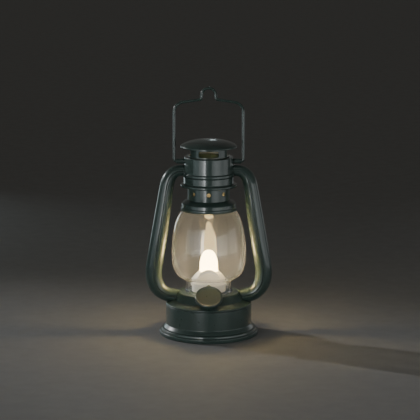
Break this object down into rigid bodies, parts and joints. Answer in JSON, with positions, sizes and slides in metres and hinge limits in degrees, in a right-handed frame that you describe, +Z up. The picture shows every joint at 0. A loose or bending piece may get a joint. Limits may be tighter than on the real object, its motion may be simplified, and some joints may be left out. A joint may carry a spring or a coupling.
{
  "type": "lantern",
  "caption": "Battery hurricane lantern: stepped round base, clear glass globe over a frosted flame bulb, vented chimney, side air tubes, wire bail and dimmer knob.",
  "frame": {"origin": "centre of the foot ring on the floor", "axes": "+Z up, the dimmer knob faces -Y, the side tubes lie along X"},
  "size_m": [0.1512, 0.1188, 0.2996],
  "materials": {
    "green_shell": "gloss dark green",
    "green_wire": "gloss dark green enamel on wire",
    "clear_glass": "clear",
    "frosted_flame": "frosted, lit",
    "white_burner": "satin white",
    "black_plastic": "satin black",
    "plated_steel": "bright plated",
    "brass": "plain",
    "board": "green solder mask",
    "emitter": "phosphor yellow",
    "cell_jacket": "plain sleeve",
    "red_lead": "plain"
  },
  "bodies": {
    "frame": {"base_housing": "green_shell", "battery_tray": "black_plastic", "board_screw_1": "plated_steel", "board_screw_2": "plated_steel", "burner_base": "white_burner", "burner_cone": "white_burner", "burner_plate": "white_burner", "cap": "green_shell", "cell_left": "cell_jacket", "cell_right": "cell_jacket", "chimney_lower": "green_shell", "chimney_upper": "green_shell", "circuit_board": "board", "contact_bridge": "plated_steel", "contact_minus": "plated_steel", "contact_plus": "plated_steel", "dimmer_nut": "brass", "dimmer_pot": "plated_steel", "door_pin": "plated_steel", "driver_chip": "black_plastic", "ear_left": "green_shell", "ear_right": "green_shell", "flame_bulb": "frosted_flame", "globe": "clear_glass", "globe_crown": "green_shell", "lamp_board": "board", "lamp_emitter": "emitter", "lamp_lead_minus": "black_plastic", "lamp_lead_plus": "red_lead", "lamp_post": "white_burner", "neck_ring": "green_shell", "shoulder_cover": "green_shell", "spring_front": "plated_steel", "spring_rear": "plated_steel", "supply_lead_minus": "black_plastic", "supply_lead_plus": "red_lead", "tray_screw_1": "plated_steel", "tray_screw_2": "plated_steel", "tray_screw_3": "plated_steel", "tube_left_inner": "green_shell", "tube_left_outer": "green_shell", "tube_right_inner": "green_shell", "tube_right_outer": "green_shell", "vent_ring": "green_shell"},
    "bail": {"bail": "green_wire"},
    "dimmer": {"dimmer_knob": "green_shell", "dimmer_shaft": "plated_steel"},
    "door": {"battery_door": "black_plastic"}
  },
  "joints": [
    {"name": "bail_swing", "type": "hinge", "parent": "frame", "child": "bail", "pos_m": [0, 0, 0.2104], "axis": [1, 0, 0], "range_deg": [-130, 130]},
    {"name": "dimmer_turn", "type": "hinge", "parent": "frame", "child": "dimmer", "pos_m": [0, -0.0446, 0.0551], "axis": [0, -0.5878, 0.809], "range_deg": [-135, 135]},
    {"name": "battery_door_swing", "type": "hinge", "parent": "frame", "child": "door", "pos_m": [0, 0.0366, 0.0026], "axis": [1, 0, 0], "range_deg": [0, 105]}
  ]
}
